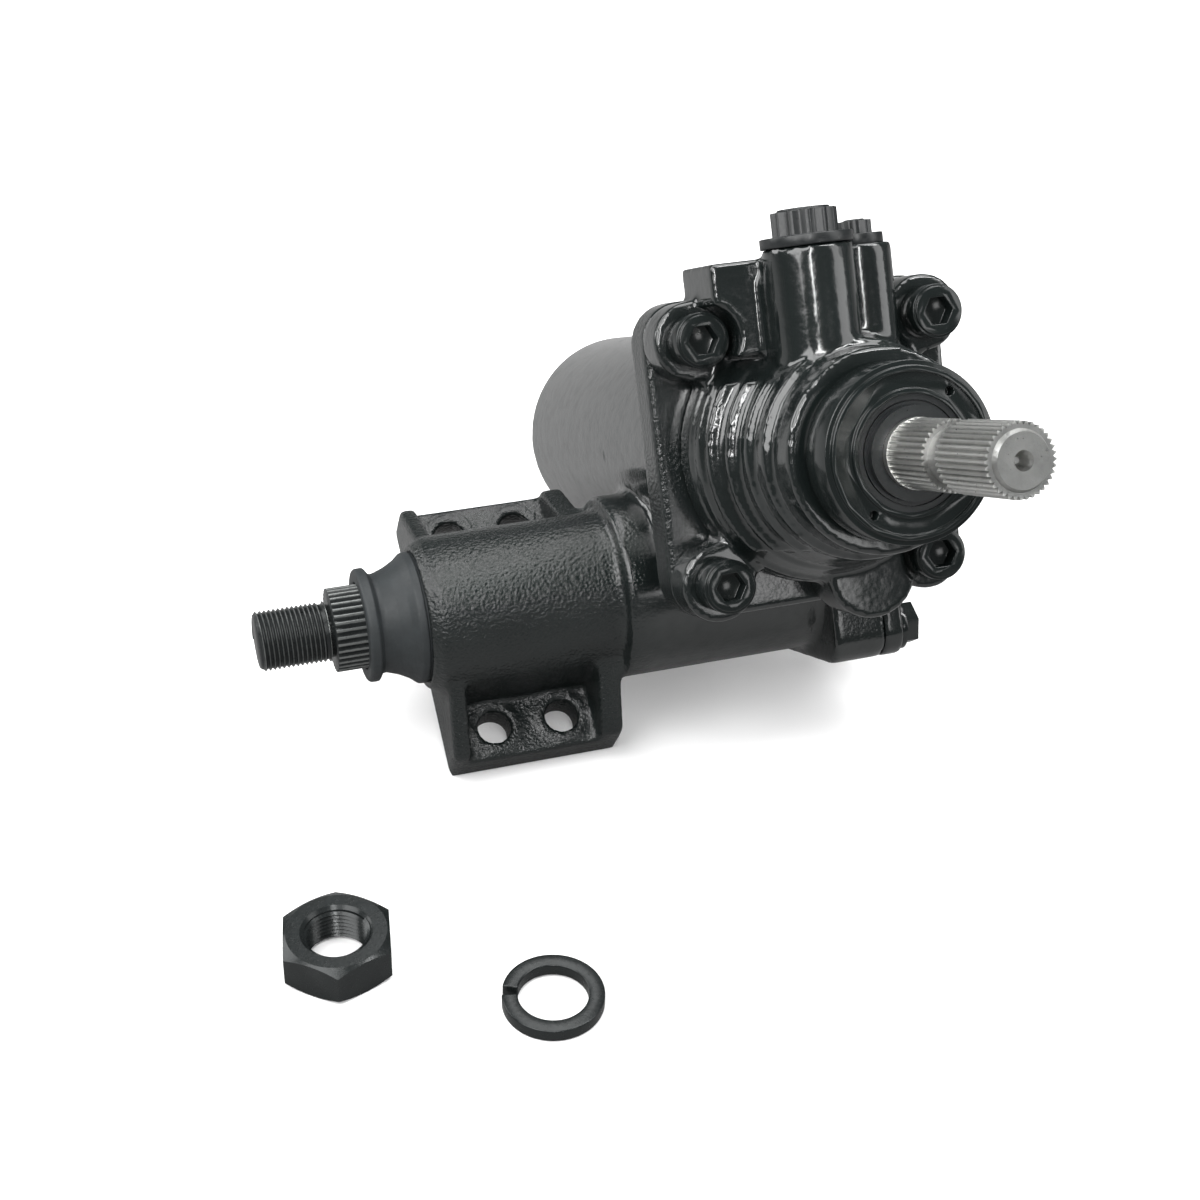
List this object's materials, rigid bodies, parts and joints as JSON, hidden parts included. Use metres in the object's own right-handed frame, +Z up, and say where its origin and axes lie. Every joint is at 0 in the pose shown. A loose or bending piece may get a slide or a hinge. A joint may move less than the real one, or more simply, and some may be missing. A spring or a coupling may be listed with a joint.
{
  "type": "steering gearbox",
  "caption": "Power steering gearbox with a splined input shaft, a bolted valve housing, a power cylinder and a sector shaft that turns a pitman arm.",
  "frame": {"origin": "middle of the mounting face, between its four bolt holes", "axes": "-X along the sector shaft towards the pitman thread; +Z up from the bench that the part lies on; the input shaft rises towards -Y"},
  "size_m": [0.2472, 0.3157, 0.2105],
  "materials": {
    "black_casting": "gloss black paint over cast iron",
    "bare_steel": "machined, bare",
    "black_steel": "black coated steel",
    "rubber": "satin dark grey rubber",
    "black_plastic": "moulded black",
    "ring_plastic": "dark sealing ring",
    "bush_metal": "bronze bush"
  },
  "bodies": {
    "housing": {"main_housing": "black_casting", "valve_housing": "black_casting", "valve_housing_bolts": "black_steel", "valve_housing_seal": "rubber", "bearing_cap": "black_casting", "input_oil_seal": "rubber", "input_bearing": "bare_steel", "worm_bearing": "bare_steel", "cylinder_end_plug": "black_steel", "end_plug_seal": "rubber", "end_plug_ring": "bare_steel", "side_cover": "black_casting", "side_cover_bolts": "black_steel", "side_cover_seal": "rubber", "side_cover_bush": "bush_metal", "adjuster_screw": "bare_steel", "adjuster_nut": "black_steel", "sector_outer_bearing": "bare_steel", "sector_inner_bearing": "bare_steel", "sector_oil_seal": "rubber", "dust_boot": "rubber", "pressure_port_plug": "black_plastic", "return_port_plug": "black_plastic"},
    "input": {"input_shaft": "bare_steel", "torsion_bar": "bare_steel", "torsion_bar_pin": "bare_steel", "coupling_pin": "bare_steel", "valve_sleeve": "bare_steel", "sleeve_seal_rings": "ring_plastic", "worm_shaft": "bare_steel"},
    "piston": {"ball_nut_piston": "bare_steel", "piston_ring": "ring_plastic", "piston_end_plug": "black_steel", "recirculating_balls": "bare_steel", "ball_return_guide": "bare_steel"},
    "sector": {"sector_shaft": "bare_steel"},
    "nut": {"pitman_nut": "black_steel"},
    "washer": {"spring_washer": "black_steel"}
  },
  "joints": [
    {"name": "input_turn", "type": "hinge", "parent": "housing", "child": "input", "pos_m": [0.0796, 0.00368, 0.06672], "axis": [0, -0.8746, 0.4848], "range_deg": [-628, 628]},
    {"name": "piston_slide", "type": "slide", "parent": "housing", "child": "piston", "axis": [0, -0.8746, 0.4848], "range_m": [-0.0139, 0.0139]},
    {"name": "sector_turn", "type": "hinge", "parent": "housing", "child": "sector", "pos_m": [0, -0.01765, 0.02824], "axis": [1, 0, 0], "range_deg": [-40.1, 40.1]},
    {"name": "nut_lift", "type": "slide", "parent": "housing", "child": "nut", "axis": [0, 0, 1], "range_m": [0, 0.06]},
    {"name": "washer_lift", "type": "slide", "parent": "housing", "child": "washer", "axis": [0, 0, 1], "range_m": [0, 0.06]}
  ],
  "couplings": [
    {"joint": "input_turn", "follows": "piston_slide", "rad_per_m": -785.4},
    {"joint": "sector_turn", "follows": "piston_slide", "rad_per_m": 50}
  ]
}
